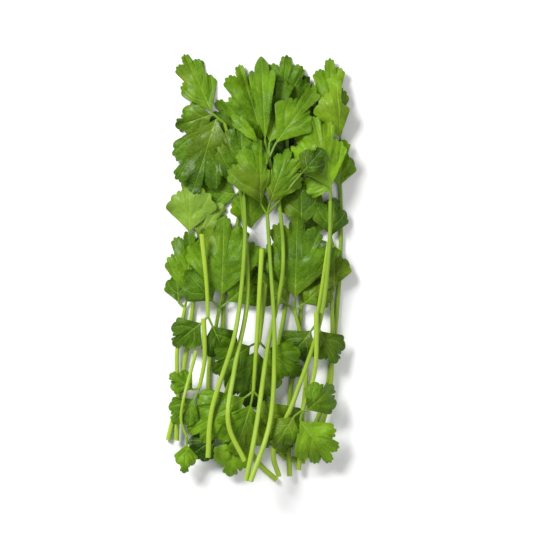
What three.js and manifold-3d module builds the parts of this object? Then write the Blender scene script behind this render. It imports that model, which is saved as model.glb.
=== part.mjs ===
// A bunch of cut flat-leaf parsley lying on a surface: separate sprigs heaped one over another, each a
// stalk with its side stalks and lobed, toothed leaflets. Millimetres, +Y towards the leaf tips, +Z up.
import * as THREE from "three";
import Module from "manifold-3d";

const wasm = await Module();
wasm.setup();

// Driving dimensions
const bladeThickness = 0.75;
const clearance = 0.5; // between one sprig and the next, straight up
const stemRadius = 1.2; // at the cut end
const stemTopRadius = 0.85; // where the stalk divides
const sideStalkRadius = 0.75;
const stemSides = 6;
const sideStalkSides = 4;
const stemStep = 14; // between the rings of a stalk
const sideStalkStep = 8;
const rootOverlap = 1.5; // how far a side stalk runs into its blade
const rootRadius = 2; // round a blade's base, where its side stalk holds it clear
const ownReach = 5; // round a blade's base, where it may touch its own sprig
const surfaceBite = 0.3; // taken off what lies on the surface, which leaves it flat

// Shape of a leaflet, as fractions of its length along the midrib
const veinStart = 0.42; // the highest place on the midrib that a vein leaves from
const broadSpread = 44; // degrees from the midrib to the edge, on a side whose lobes stand side by side
const slimSpread = 14; // on a side whose lobes stand one behind another
const broadDrop = 0.34; // how much shorter the last lobe of a side is
const slimDrop = 0.75;
const broadBay = 0.3; // how far the bay between two lobes runs in towards the midrib
const slimBay = 0.14;
const shoulderReach = 0.38; // of the last lobe: the straight edge beside the base
const lobeBulge = 0.3; // how far a lobe swells past its neck, as a fraction of its own length
const plainBulge = 0.13; // of a leaflet that is a single lobe
const toothDepth = 0.2; // of the lobe
const lobeVariety = 0.04;
const largeLeaflet = 24; // millimetres: from here on it has one more ring, and its lobes have five teeth
const innerRings = [0.4, 0.74];
const smallLeafletRing = 0.6;

// Relief of a leaflet before it settles
const pleatDepth = 0.042; // of the length: veins lie low, the folds between lobes stand up
const waveHeight = 1.1;
const tipDroop = 0.3; // of the length

// The heap, as the height of what lies at each cell of a grid
const cell = 0.5;
const gridHalfX = 54;
const gridHalfY = 110;
const gridColumns = Math.round((2 * gridHalfX) / cell);
const gridRows = Math.round((2 * gridHalfY) / cell);

const degrees = Math.PI / 180;

function seededRandom(seed) {
  let state = seed * 2654435761 + 1013904223;
  return () => {
    state = (Math.imul(state ^ (state >>> 15), 2246822519) + 374761393) >>> 0;
    return ((state ^ (state >>> 13)) >>> 0) / 4294967296;
  };
}

class HeightMap {
  constructor(start) {
    this.heights = new Float32Array(gridColumns * gridRows).fill(start);
  }

  column(x) {
    return Math.floor((x + gridHalfX) / cell);
  }

  row(y) {
    return Math.floor((y + gridHalfY) / cell);
  }

  // Highest value within a radius of a point.
  highest(x, y, radius) {
    let top = -Infinity;
    for (let j = this.row(y - radius); j <= this.row(y + radius); j++)
      for (let i = this.column(x - radius); i <= this.column(x + radius); i++)
        top = Math.max(top, this.heights[j * gridColumns + i]);
    return top;
  }

  // Raises the cells within a radius of a point to at least a height.
  raise(x, y, radius, height) {
    for (let j = this.row(y - radius); j <= this.row(y + radius); j++)
      for (let i = this.column(x - radius); i <= this.column(x + radius); i++) {
        const at = j * gridColumns + i;
        this.heights[at] = Math.max(this.heights[at], height);
      }
  }
}

// Calls visit(x, y, cellIndex, weights) for each cell centre inside a triangle seen from above.
function eachCellIn(a, b, c, visit) {
  const area = (b.x - a.x) * (c.y - a.y) - (c.x - a.x) * (b.y - a.y);
  if (Math.abs(area) < 1e-6) return;
  const firstRow = Math.floor((Math.min(a.y, b.y, c.y) + gridHalfY) / cell);
  const lastRow = Math.floor((Math.max(a.y, b.y, c.y) + gridHalfY) / cell);
  const firstColumn = Math.floor((Math.min(a.x, b.x, c.x) + gridHalfX) / cell);
  const lastColumn = Math.floor((Math.max(a.x, b.x, c.x) + gridHalfX) / cell);
  for (let j = firstRow; j <= lastRow; j++)
    for (let i = firstColumn; i <= lastColumn; i++) {
      const x = (i + 0.5) * cell - gridHalfX;
      const y = (j + 0.5) * cell - gridHalfY;
      const wb = ((x - a.x) * (c.y - a.y) - (c.x - a.x) * (y - a.y)) / area;
      const wc = ((b.x - a.x) * (y - a.y) - (x - a.x) * (b.y - a.y)) / area;
      const wa = 1 - wb - wc;
      if (Math.min(wa, wb, wc) < -1e-6) continue;
      visit(x, y, j * gridColumns + i, [wa, wb, wc]);
    }
}

// The lobes of one side of a leaflet whose base is the origin and whose tip is at (1, 0): their tips, from
// the leaflet's own tip down, and below each the foot that it shares with the next, or the shoulder.
function sideLobes(spread, lobes, seed) {
  const polar = (angle, reach) =>
    new THREE.Vector2(Math.cos(angle * degrees), Math.sin(angle * degrees)).multiplyScalar(reach);
  const slim = THREE.MathUtils.clamp((broadSpread - spread) / (broadSpread - slimSpread), 0, 1);
  const drop = THREE.MathUtils.lerp(broadDrop, slimDrop, slim);
  const bay = THREE.MathUtils.lerp(broadBay, slimBay, slim);
  const tips = [new THREE.Vector2(1, 0)];
  const feet = [];
  for (let k = 1; k <= lobes; k++) {
    const out = k / (lobes + 0.5);
    const reach = (1 - drop * out ** 1.4) * (1 + lobeVariety * Math.sin(seed * 2.3 + k * 1.9));
    tips.push(polar(spread * out, reach));
    const between = tips[k - 1].clone().lerp(tips[k], 0.5);
    feet.push(between.clone().lerp(new THREE.Vector2(0.6 * between.x, 0), bay));
  }
  feet.push(polar(spread, shoulderReach * tips[lobes].length()));
  return { tips, feet };
}

// A point on the edge of a lobe, for t from 0 at its tip to 1 at its foot: an arch cut into round teeth.
function lobeEdge(tip, centre, foot, bulge, teeth, t) {
  const axis = tip.clone().sub(centre).normalize();
  const height = tip.clone().sub(foot).dot(axis);
  const across = foot.clone().sub(tip).addScaledVector(axis, height);
  const width = across.length();
  const out = width * Math.sin((t * Math.PI) / 2) + bulge * height * Math.sin(t * Math.PI) ** 2;
  const edge = tip
    .clone()
    .addScaledVector(axis, -height * (1 - Math.cos((t * Math.PI) / 2)))
    .addScaledVector(across, out / width);
  const notch = t < 1 - 1 / teeth ? 1 - Math.abs(Math.cos((teeth * t * Math.PI) / 2)) ** 0.6 : 0;
  return edge.lerp(centre, toothDepth * notch);
}

// A leaflet seen from above with its base at the origin and its midrib along +X, and its mean surface:
// points with x, y and z, the triangles between them and the loop round them.
function leafletSurface(length, spreadRight, spreadLeft, lobes, seed) {
  const random = seededRandom(seed);
  const phase = random() * 2 * Math.PI;
  const waves = 4 + 2 * random();
  const large = length > largeLeaflet;
  const teeth = large && lobes ? 5 : 3;
  const stops = teeth === 5 ? [0.2, 0.4, 0.6, 0.8] : [0.33, 0.52, 0.8];
  const halves = 2 * lobes + 1;
  const bulge = lobes ? lobeBulge / lobes ** 1.5 : plainBulge;
  const ribAt = (part) => new THREE.Vector2(veinStart * part ** 1.3, 0);
  // Rays run from the midrib to the tips and feet of the lobes, in order round the leaflet.
  const rays = [{ order: 1, rib: halves - 1, end: new THREE.Vector2(1, 0), fold: -1 }];
  const edge = [{ order: 1, spot: new THREE.Vector2(1, 0) }];
  for (const [spread, sign] of [[spreadRight, -1], [spreadLeft, 1]]) {
    const { tips, feet } = sideLobes(spread, lobes, seed * 2 + sign);
    const order = (part) => 1 + sign * (1 - part);
    const turned = (spot) => new THREE.Vector2(spot.x, sign * spot.y);
    for (let half = 0; half < halves; half++) {
      const rising = half % 2 === 0;
      const lobe = lobes - Math.floor(half / 2);
      const foot = rising ? feet[lobe] : feet[lobe - 1];
      const centre = lobe ? feet[lobe - 1].clone().lerp(feet[lobe], 0.5) : new THREE.Vector2(foot.x, 0);
      const start = rising ? foot : tips[lobe];
      const fold = half === 0 ? 0.6 : rising ? 1 : -1;
      rays.push({ order: order(half / halves), rib: half, end: turned(start), fold });
      edge.push({ order: order(half / halves), spot: turned(start) });
      for (const t of stops) {
        const spot = turned(lobeEdge(tips[lobe], centre, foot, bulge, teeth, t));
        edge.push({ order: order((half + (rising ? 1 - t : t)) / halves), spot });
      }
    }
  }
  rays.sort((a, b) => a.order - b.order);
  edge.sort((a, b) => a.order - b.order);
  const foldAt = (order) => {
    const next = Math.max(1, rays.findIndex((ray) => ray.order >= order - 1e-6));
    const [low, high] = [rays[next - 1], rays[next]];
    return THREE.MathUtils.mapLinear(order, low.order, high.order, low.fold, high.fold);
  };
  const points = [];
  const place = (spot, fold) => {
    const reach = spot.length();
    const wave = waveHeight * reach ** 2 * Math.sin(waves * Math.atan2(spot.y, spot.x) + phase);
    const height = (fold * pleatDepth - tipDroop * reach) * reach * length + wave;
    points.push(new THREE.Vector3(spot.x * length, spot.y * length, height));
    return points.length - 1;
  };
  const ribs = [];
  for (let k = 0; k < halves; k++) ribs.push(place(ribAt(k / halves), -1));
  const inner = rays.map((ray) => ribs[ray.rib]);
  const rings = (large ? innerRings : [smallLeafletRing]).map((share) =>
    rays.map((ray) => place(ribAt(ray.rib / halves).lerp(ray.end, share), ray.fold)),
  );
  const rim = edge.map(({ order, spot }) => place(spot, foldAt(order)));
  const triangles = [];
  [inner, ...rings].slice(0, -1).forEach((near, r) => {
    const far = rings[r];
    for (let i = 0; i + 1 < rays.length; i++) {
      triangles.push([near[i], far[i], far[i + 1]]);
      if (near[i] !== near[i + 1]) triangles.push([near[i], far[i + 1], near[i + 1]]);
    }
  });
  // The outer ring is stitched to the rim in order, and a step along the rim waits where it would fold over.
  const turnsLeft = (a, b, c) => {
    const [p, q, r] = [points[a], points[b], points[c]];
    return (q.x - p.x) * (r.y - p.y) > (r.x - p.x) * (q.y - p.y) + 0.01;
  };
  const outer = rings.at(-1);
  let i = 0;
  let j = 0;
  while (i + 1 < rays.length || j + 1 < rim.length) {
    const inOrder = j + 1 < rim.length && edge[j + 1].order <= rays[i + 1]?.order + 1e-6;
    if (i + 1 >= rays.length || (inOrder && turnsLeft(outer[i], rim[j], rim[j + 1]))) {
      triangles.push([outer[i], rim[j], rim[j + 1]]);
      j++;
    } else {
      triangles.push([outer[i], rim[j], outer[i + 1]]);
      i++;
    }
  }
  const firstRay = rings.map((ring) => ring[0]);
  const lastRay = rings.map((ring) => ring.at(-1)).reverse();
  return { points, triangles, border: [0, ...firstRay, ...rim, ...lastRay] };
}

// Lets a surface sag onto the heap: each point keeps its own relief and is lifted where the heap is higher.
function settle(surface, base, needAt) {
  const { points, triangles } = surface;
  const neighbours = points.map(() => new Set());
  for (const [a, b, c] of triangles) {
    neighbours[a].add(b).add(c);
    neighbours[b].add(a).add(c);
    neighbours[c].add(a).add(b);
  }
  const lift = points.map(() => 0);
  const cells = triangles.map(([a, b, c]) => {
    const list = [];
    eachCellIn(points[a], points[b], points[c], (x, y, at, weights) => {
      const distance = Math.hypot(x - base.x, y - base.y);
      if (distance > rootRadius) list.push({ weights, need: needAt(at, distance) });
    });
    return list;
  });
  const smoothPasses = 60;
  const pushPasses = 40;
  for (let pass = 0; pass < smoothPasses + pushPasses; pass++) {
    if (pass < smoothPasses) {
      const before = [...lift];
      for (let k = 1; k < points.length; k++) {
        let sum = 0;
        for (const n of neighbours[k]) sum += before[n];
        const even = sum / neighbours[k].size;
        lift[k] = Math.max(0, before[k] + 0.45 * (even - before[k]) - 0.02);
      }
    }
    triangles.forEach(([a, b, c], t) => {
      for (const { weights, need } of cells[t]) {
        const height =
          weights[0] * (points[a].z + lift[a]) +
          weights[1] * (points[b].z + lift[b]) +
          weights[2] * (points[c].z + lift[c]);
        const short = need - height;
        if (short <= 0) continue;
        const [wa, wb, wc] = [a === 0 ? 0 : weights[0], weights[1], weights[2]];
        const share = short / (wa ** 2 + wb ** 2 + wc ** 2);
        lift[a] += share * wa;
        lift[b] += share * wb;
        lift[c] += share * wc;
      }
    });
  }
  points.forEach((point, k) => {
    point.z += lift[k];
  });
}

function solidFrom(vertices, faces) {
  return new wasm.Manifold(
    new wasm.Mesh({
      numProp: 3,
      vertProperties: new Float32Array(vertices.flatMap((v) => [v.x, v.y, v.z])),
      triVerts: new Uint32Array(faces.flat()),
    }),
  );
}

// Thickens a surface straight up, more where it is steep, so that the blade keeps its thickness.
function bladeSolid({ points, triangles, border }) {
  const steepest = points.map(() => 1);
  const normal = new THREE.Vector3();
  const triangle = new THREE.Triangle();
  for (const corners of triangles) {
    triangle.set(...corners.map((k) => points[k])).getNormal(normal);
    for (const k of corners) steepest[k] = Math.min(steepest[k], Math.abs(normal.z));
  }
  const count = points.length;
  const upper = points.map(
    (point, k) => new THREE.Vector3(point.x, point.y, point.z + bladeThickness / Math.max(0.5, steepest[k])),
  );
  const faces = [];
  for (const [a, b, c] of triangles) {
    faces.push([a + count, b + count, c + count]);
    faces.push([a, c, b]);
  }
  border.forEach((from, k) => {
    const to = border[(k + 1) % border.length];
    faces.push([from, to, to + count]);
    faces.push([from, to + count, from + count]);
  });
  return { solid: solidFrom([...points, ...upper], faces), upper };
}

// A stalk through the given centres, narrowing from one radius to another. With six sides, one faces down.
function stalkSolid(centres, startRadius, endRadius, sides, step) {
  const path = new THREE.CatmullRomCurve3(centres);
  const rings = Math.max(2, Math.round(path.getLength() / step));
  const up = new THREE.Vector3(0, 0, 1);
  const vertices = [];
  for (let k = 0; k <= rings; k++) {
    const centre = path.getPointAt(k / rings);
    const side = new THREE.Vector3().crossVectors(path.getTangentAt(k / rings), up).normalize();
    const radius = THREE.MathUtils.lerp(startRadius, endRadius, k / rings);
    for (let s = 0; s < sides; s++) {
      const turn = (s / sides) * 2 * Math.PI;
      vertices.push(
        centre
          .clone()
          .addScaledVector(side, radius * Math.cos(turn))
          .addScaledVector(up, radius * Math.sin(turn)),
      );
    }
  }
  const faces = [];
  for (let k = 0; k < rings; k++)
    for (let s = 0; s < sides; s++) {
      const a = k * sides + s;
      const b = k * sides + ((s + 1) % sides);
      faces.push([a, b + sides, b]);
      faces.push([a, a + sides, b + sides]);
    }
  const last = rings * sides;
  for (let s = 1; s + 1 < sides; s++) {
    faces.push([0, s, s + 1]);
    faces.push([last, last + s + 1, last + s]);
  }
  return solidFrom(vertices, faces);
}

// Points every 2 mm along a smooth route seen from above.
function planRoute(corners) {
  const path = new THREE.CatmullRomCurve3(corners.map(([x, y]) => new THREE.Vector3(x, y, 0)));
  return path.getSpacedPoints(Math.max(3, Math.round(path.getLength() / 2)));
}

// Gives a route its height: a springy stalk that sags a little and is held up by what it crosses.
function restRoute(route, radius, needUnder, startHeight) {
  const sag = 0.012;
  const last = route.length - 1;
  const endMargin = startHeight === undefined ? 0 : 1.2;
  const need = route.map(
    (point, k) => needUnder(point.x, point.y, radius + 0.3 + (endMargin * k) / last) + radius,
  );
  const heights = need.map((height) => Math.max(height, startHeight ?? Math.max(...need)));
  for (let pass = 0; pass < 3000; pass++)
    for (let k = startHeight === undefined ? 0 : 1; k <= last; k++) {
      const before = heights[Math.max(0, k - 1)];
      const after = heights[Math.min(last, k + 1)];
      heights[k] = Math.max(need[k], (before + after) / 2 - sag);
    }
  route.forEach((point, k) => {
    point.z = heights[k];
  });
  return route;
}

const heap = new HeightMap(0);

// Builds one sprig on top of the heap and adds it to the heap.
// stalk: its route from the cut end up. leaflets: [joint, base, tip, spread right, spread left, lobes a
// side], where joint is the place along the stalk, 0 to 1, that the side stalk leaves from.
function buildSprig({ seed, stalk, leaflets, thick = 1 }) {
  const own = new HeightMap(-1000);
  const needOver = (height) => (height > 0 ? height + clearance : -surfaceBite);
  const needUnder = (x, y, radius) => needOver(heap.highest(x, y, radius));
  const markRoute = (route, radius) => {
    for (const point of route) own.raise(point.x, point.y, radius, point.z + radius);
  };
  const startRadius = stemRadius * thick;
  const endRadius = stemTopRadius * thick;
  const stalkRoute = restRoute(planRoute(stalk), startRadius * 0.9, needUnder);
  markRoute(stalkRoute, startRadius);
  let sprig = stalkSolid(stalkRoute, startRadius, endRadius, stemSides, stemStep);
  leaflets.forEach(([joint, base, tip, spreadRight, spreadLeft, lobes], k) => {
    const leaving = stalkRoute[Math.round(joint * (stalkRoute.length - 1))];
    const axis = new THREE.Vector2(tip[0] - base[0], tip[1] - base[1]);
    const length = axis.length();
    axis.normalize();
    const inBlade = [base[0] + axis.x * rootOverlap, base[1] + axis.y * rootOverlap];
    const route = restRoute(
      planRoute([[leaving.x, leaving.y], base, inBlade]),
      sideStalkRadius,
      needUnder,
      leaving.z,
    );
    sprig = sprig.add(
      stalkSolid(route, sideStalkRadius, sideStalkRadius * 0.8, sideStalkSides, sideStalkStep),
    );
    markRoute(route, sideStalkRadius);
    const root = route.at(-2);
    const turn = Math.atan2(axis.y, axis.x);
    const surface = leafletSurface(length, spreadRight, spreadLeft, lobes, seed * 31 + k);
    for (const point of surface.points) {
      const height = point.z;
      point.setZ(0).applyAxisAngle(new THREE.Vector3(0, 0, 1), turn);
      point.set(point.x + base[0], point.y + base[1], height + root.z - bladeThickness / 2);
      point.z = Math.max(point.z, -surfaceBite);
    }
    settle(surface, { x: base[0], y: base[1] }, (at, distance) => {
      const others = needOver(heap.heights[at]);
      return distance < ownReach ? others : Math.max(others, own.heights[at] + clearance);
    });
    const { solid, upper } = bladeSolid(surface);
    sprig = sprig.add(solid);
    for (const [a, b, c] of surface.triangles)
      eachCellIn(upper[a], upper[b], upper[c], (x, y, at, [wa, wb, wc]) => {
        own.raise(x, y, cell, wa * upper[a].z + wb * upper[b].z + wc * upper[c].z);
      });
    for (const point of upper) own.raise(point.x, point.y, cell, point.z);
  });
  heap.heights.forEach((height, at) => {
    heap.heights[at] = Math.max(height, own.heights[at]);
  });
  const surfaceBlock = wasm.Manifold.cube([400, 400, 100], true).translate([0, 0, -50]);
  return sprig.subtract(surfaceBlock);
}

// The sprigs in the order in which they lie, lowest first.
const sprigs = [
  {
    seed: 1,
    green: "deep",
    stalk: [[25, -90], [15, -88], [7, -71], [13, -24], [19, 22], [20, 56]],
    leaflets: [
      [1, [23, 68], [18, 90], 38, 38, 1],
      [1, [20, 59], [35, 68], 44, 44, 1],
      [1, [15, 55], [0, 76], 46, 46, 1],
      [0.93, [14, 45], [4, 58], 46, 46, 1],
    ],
  },
  {
    seed: 2,
    green: "middle",
    stalk: [[12, -99], [3, -91], [-10, -67], [-15, -16], [-8, 29], [-3, 54]],
    leaflets: [
      [0.9, [-11, 33], [-31, 37], 46, 56, 1],
      [0.8, [-3, 18], [-6, 39], 40, 40, 1],
      [1, [-4, 55], [-21, 77], 42, 42, 2],
      [1, [1, 59], [-11, 94], 16, 36, 2],
    ],
  },
  {
    seed: 3,
    green: "middle",
    stalk: [[18, -97], [17, -83], [17, -61], [21, -15], [15, 32], [12, 60]],
    leaflets: [
      [1, [8, 67], [11, 99], 40, 42, 2],
      [1, [15, 63], [29, 79], 40, 40, 1],
    ],
  },
  {
    seed: 4,
    green: "middle",
    stalk: [[24, -85], [33, -61], [38, -14], [38, 32], [35, 57]],
    leaflets: [
      [0.84, [37, 38], [39, 60], 28, 42, 1],
      [1, [32, 59], [20, 73], 44, 44, 1],
      [1, [33, 64], [31, 98], 26, 34, 2],
      [1, [37, 60], [34, 90], 8, 34, 1],
    ],
  },
  {
    seed: 5,
    green: "deep",
    stalk: [[30, -80], [35, -61], [36, -33], [35, -10], [35, 11]],
    leaflets: [
      [0.74, [36, -9], [36, 10], 36, 44, 1],
      [1, [27, 14], [23, 35], 42, 44, 1],
      [0.9, [20, 19], [19, 42], 44, 44, 1],
      [1, [34, 15], [35, 33], 38, 46, 1],
    ],
  },
  {
    seed: 6,
    green: "bright",
    stalk: [[-39, -82], [-34, -57], [-31, -35], [-29, -12], [-31, 9]],
    leaflets: [
      [1, [-28, 12], [-17, 29], 46, 44, 1],
      [1, [-32, 15], [-33, 41], 44, 36, 1],
    ],
  },
  {
    seed: 7,
    green: "middle",
    stalk: [[-35, -82], [-35, -61], [-36, -40], [-33, -20]],
    leaflets: [
      [1, [-36, -18], [-38, -2], 38, 34, 1],
      [1, [-32, -15], [-32, 16], 46, 36, 2],
    ],
  },
  {
    seed: 8,
    green: "middle",
    stalk: [[-20, -89], [-20, -73], [-21, -49], [-17, -20]],
    leaflets: [
      [1, [-20, -17], [-33, -3], 46, 40, 1],
      [1, [-13, -17], [3, -1], 44, 46, 1],
      [1, [-16, -14], [-16, 23], 46, 46, 2],
    ],
  },
  {
    seed: 9,
    green: "deep",
    stalk: [[22, -94], [23, -71], [24, -43], [18, -20]],
    leaflets: [
      [1, [22, -17], [34, -5], 44, 44, 1],
      [1, [14, -17], [-1, -3], 44, 44, 1],
      [1, [18, -14], [18, 24], 46, 46, 2],
    ],
  },
  {
    seed: 21,
    green: "deep",
    stalk: [[33, 12], [30, -12], [28, -26]],
    leaflets: [
      [1, [30, -29], [38, -44], 42, 44, 1],
      [1, [26, -29], [15, -44], 44, 42, 1],
    ],
  },
  {
    seed: 22,
    green: "middle",
    stalk: [[-26, 14], [-23, -10], [-22, -24]],
    leaflets: [
      [1, [-25, -27], [-38, -38], 44, 42, 1],
      [1, [-20, -28], [-12, -45], 42, 44, 1],
    ],
  },
  {
    seed: 10,
    green: "middle",
    stalk: [[4, -8], [3, -24], [2, -35]],
    leaflets: [
      [1, [5, -38], [22, -50], 42, 46, 1],
      [1, [-2, -37], [-19, -50], 46, 42, 1],
      [1, [1, -39], [-3, -66], 46, 44, 1],
    ],
  },
  {
    seed: 13,
    green: "bright",
    stalk: [[-9, -50], [-14, -64], [-14, -77]],
    leaflets: [
      [1, [-17, -80], [-30, -90], 42, 42, 1],
      [1, [-8, -80], [-10, -98], 50, 52, 1],
    ],
  },
  {
    seed: 11,
    green: "middle",
    stalk: [[2, 8], [1, -29], [0, -58]],
    leaflets: [
      [1, [4, -62], [16, -86], 46, 48, 1],
      [1, [-4, -61], [-30, -78], 42, 42, 2],
      [1, [-1, -64], [-8, -88], 44, 44, 1],
    ],
  },
  {
    seed: 14,
    green: "middle",
    stalk: [[-24, -25], [-23, -44], [-25, -57]],
    leaflets: [
      [1, [-28, -58], [-39, -51], 44, 42, 1],
      [1, [-27, -62], [-37, -74], 44, 44, 1],
    ],
  },
  {
    seed: 15,
    green: "deep",
    thick: 0.7,
    stalk: [[-27, -40], [-33, -72], [-30, -80]],
    leaflets: [[1, [-30, -83], [-31, -97], 32, 34, 1]],
  },
  {
    seed: 17,
    green: "deep",
    stalk: [[-3, -90], [-11, -73], [-9, -48], [-4, -15], [-8, 30], [-12, 50], [-17, 66]],
    leaflets: [
      [1, [-23, 70], [-40, 64], 44, 46, 1],
      [1, [-23, 71], [-37, 98], 30, 32, 2],
      [1, [-21, 68], [-31, 33], 42, 44, 2],
    ],
  },
  {
    seed: 16,
    green: "middle",
    stalk: [[-20, -89], [-19, -68], [-9, -30], [-6, 14], [-7, 32]],
    leaflets: [[1, [-7, 35], [-10, 69], 42, 36, 2]],
  },
  {
    seed: 18,
    green: "bright",
    stalk: [[13, -97], [10, -86], [19, -61], [30, -24], [33, 9], [33, 31]],
    leaflets: [
      [1, [33, 36], [20, 41], 40, 40, 1],
      [1, [33, 37], [24, 70], 34, 46, 2],
    ],
  },
  {
    seed: 12,
    green: "bright",
    stalk: [[28, -20], [28, -48], [23, -66]],
    leaflets: [
      [1, [25, -66], [37, -54], 46, 46, 1],
      [1, [19, -69], [10, -84], 44, 42, 1],
      [1, [22, -71], [37, -90], 46, 48, 2],
    ],
  },
  {
    seed: 19,
    green: "bright",
    stalk: [[-2, -99], [2, -73], [6, -38], [12, -1], [9, 31], [4, 50]],
    leaflets: [
      [1, [-1, 57], [-14, 70], 22, 20, 0],
      [1, [4, 57], [11, 87], 34, 30, 1],
      [1, [7, 57], [25, 83], 26, 28, 1],
      [1, [2, 58], [-1, 98], 15, 15, 0],
    ],
  },
  {
    seed: 20,
    green: "middle",
    stalk: [[0, -99], [8, -72], [9, -34], [6, 3], [4, 24]],
    leaflets: [
      [1, [1, 29], [-1, 59], 20, 54, 2],
      [1, [5, 29], [13, 55], 42, 26, 2],
      [1, [19, 43], [29, 55], 38, 38, 1],
    ],
  },
];

const greens = {
  bright: new THREE.Color("#7fae3a"),
  middle: new THREE.Color("#5f9232"),
  deep: new THREE.Color("#3f7430"),
};

const bunch = new THREE.Group();
bunch.name = "parsley_bunch";
sprigs.forEach((sprig, k) => {
  const mesh = buildSprig(sprig).getMesh();
  const geometry = new THREE.BufferGeometry();
  geometry.setAttribute("position", new THREE.BufferAttribute(mesh.vertProperties, 3));
  geometry.setIndex(new THREE.BufferAttribute(mesh.triVerts, 1));
  const material = new THREE.MeshStandardMaterial({
    color: greens[sprig.green],
    roughness: 0.5,
    metalness: 0,
  });
  const piece = new THREE.Mesh(geometry, material);
  piece.name = `sprig_${String(k + 1).padStart(2, "0")}`;
  bunch.add(piece);
});

// The middle of the heap, at the height of the surface, is the origin.
const middle = new THREE.Box3().setFromObject(bunch).getCenter(new THREE.Vector3());
bunch.position.set(-middle.x, -middle.y, 0);

export default bunch;
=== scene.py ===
# Dresses the parsley bunch: every sprig gets a fine stalk and toothed, veined leaflets that keep the
# form of its solid. Sizes are in millimetres unless a note says otherwise.
import bpy
import math
import numpy as np
import random
from mathutils import Matrix, Vector, noise
from mathutils.bvhtree import BVHTree
from mathutils.kdtree import KDTree


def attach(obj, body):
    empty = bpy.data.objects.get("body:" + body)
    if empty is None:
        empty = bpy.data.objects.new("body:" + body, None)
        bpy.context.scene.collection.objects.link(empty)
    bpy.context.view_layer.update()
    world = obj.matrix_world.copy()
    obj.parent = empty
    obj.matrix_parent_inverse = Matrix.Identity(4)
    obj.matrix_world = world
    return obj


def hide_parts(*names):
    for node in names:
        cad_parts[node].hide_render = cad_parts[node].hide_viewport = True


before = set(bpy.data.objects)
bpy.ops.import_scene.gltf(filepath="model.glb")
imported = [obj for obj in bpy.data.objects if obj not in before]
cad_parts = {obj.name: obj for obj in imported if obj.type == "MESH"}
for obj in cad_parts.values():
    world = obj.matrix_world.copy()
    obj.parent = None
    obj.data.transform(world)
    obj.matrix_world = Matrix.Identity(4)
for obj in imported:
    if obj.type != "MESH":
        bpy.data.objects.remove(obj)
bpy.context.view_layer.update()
print("frame loaded:", len(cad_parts), "sprigs")

mm = 0.001
mapScale = 50  # mm to one unit of the growthPlan map
bladeSlot, stalkSlot, cutSlot = 0, 1, 2


def mixed(low, high, share):
    return low + (high - low) * share


def between(low, high, value):
    return max(low, min(high, value))


heapShape = {
    "middle": (0.767, -0.46),  # the middle of the heap in the plan of the sprigs
    "cells": (160, 260),  # of 1 mm, on which the heap's height is kept
    "corner": (80, 130),  # from the grid's corner to the plan's origin
    "fill": (0, 0.25, 0.5, 0.75),  # where points are added between two of a sheet
    "gap": 0.12,  # between a sprig and what it lies on
    "mostLift": 2.5,
    "easeRounds": 30,
}

solidProbe = {
    "cornerReach": 0.02,  # how near a corner of the solid has to be to count as found
    "startHeight": 0.2,  # metres, where the rays that look down start
    "mostHits": 24,
    "sameHeight": 0.002,  # hits closer together than this are one
    "stepBelow": 1e-6,  # metres
}


class Solid:  # one node of the model, measured in the plan of the sprigs
    def __init__(self, node):
        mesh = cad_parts[node].data
        corners = [v.co for v in mesh.vertices]
        self.tree = BVHTree.FromPolygons(corners, [tuple(p.vertices) for p in mesh.polygons])
        self.corners = KDTree(len(corners))
        self.heights = []
        middle = heapShape["middle"]
        for k, corner in enumerate(corners):
            x, y, z = corner / mm
            self.corners.insert((x + middle[0], y + middle[1], 0), k)
            self.heights.append(z)
        self.corners.balance()

    def cornerAt(self, spot):  # height of the highest corner at a point of the plan
        near = self.corners.find_range((spot.x, spot.y, 0), solidProbe["cornerReach"])
        return max((self.heights[k] for _, k, _ in near), default=float("nan"))

    def layersAt(self, spot):  # (top, bottom) of the solid at a point of the plan, highest first
        middle = heapShape["middle"]
        ray = Vector(((spot.x - middle[0]) * mm, (spot.y - middle[1]) * mm, solidProbe["startHeight"]))
        hits = []
        while len(hits) < solidProbe["mostHits"]:
            hit, normal, _, _ = self.tree.ray_cast(ray, Vector((0, 0, -1)))
            if hit is None:
                break
            if not hits or abs(hits[-1][0] - hit.z / mm) > solidProbe["sameHeight"]:
                hits.append((hit.z / mm, normal.z))
            ray.z = hit.z - solidProbe["stepBelow"]
        layers = []
        top = None
        for height, facing in hits:
            if facing > 0 and top is None:
                top = height
            elif facing <= 0 and top is not None:
                layers.append((top, height))
                top = None
        return layers


class Heap:  # how high the sprigs laid so far reach, on a grid of the plan
    def __init__(self):
        self.tops = np.zeros(heapShape["cells"])

    def cells(self, points):  # of an array of (x, y, z)
        found = []
        for k, count in enumerate(heapShape["cells"]):
            place = (points[:, k] + heapShape["corner"][k]).astype(int)
            found.append(np.clip(place, 0, count - 1))
        return tuple(found)

    def lay(self, sheet):  # rows of points, filled in between
        for part in heapShape["fill"]:
            points = (sheet[:, :-1] * (1 - part) + sheet[:, 1:] * part).reshape(-1, 3)
            np.maximum.at(self.tops, self.cells(points), points[:, 2])

    def lift(self, points, clearance, blur):  # how far up points have to go to lie over the heap
        flat = points.reshape(-1, 3)
        short = self.tops[self.cells(flat)] + heapShape["gap"] + clearance - flat[:, 2]
        asked = np.clip(short, 0, heapShape["mostLift"]).reshape(points.shape[:-1])
        spread = asked
        for _ in range(heapShape["easeRounds"]):  # it fades out and never falls below what is asked
            spread = np.maximum(asked, blur(spread))
        return blur(spread)


heap = Heap()


def blurLine(values):
    padded = np.concatenate([values[:1], values, values[-1:]])
    return (padded[:-2] + 2 * values + padded[2:]) / 4


def blurSheet(values):
    wide = np.concatenate([values[:, :1], values, values[:, -1:]], axis=1)
    tall = np.concatenate([values[:1], values, values[-1:]])
    return (2 * values + wide[:, :-2] + wide[:, 2:] + tall[:-2] + tall[2:]) / 6


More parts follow.
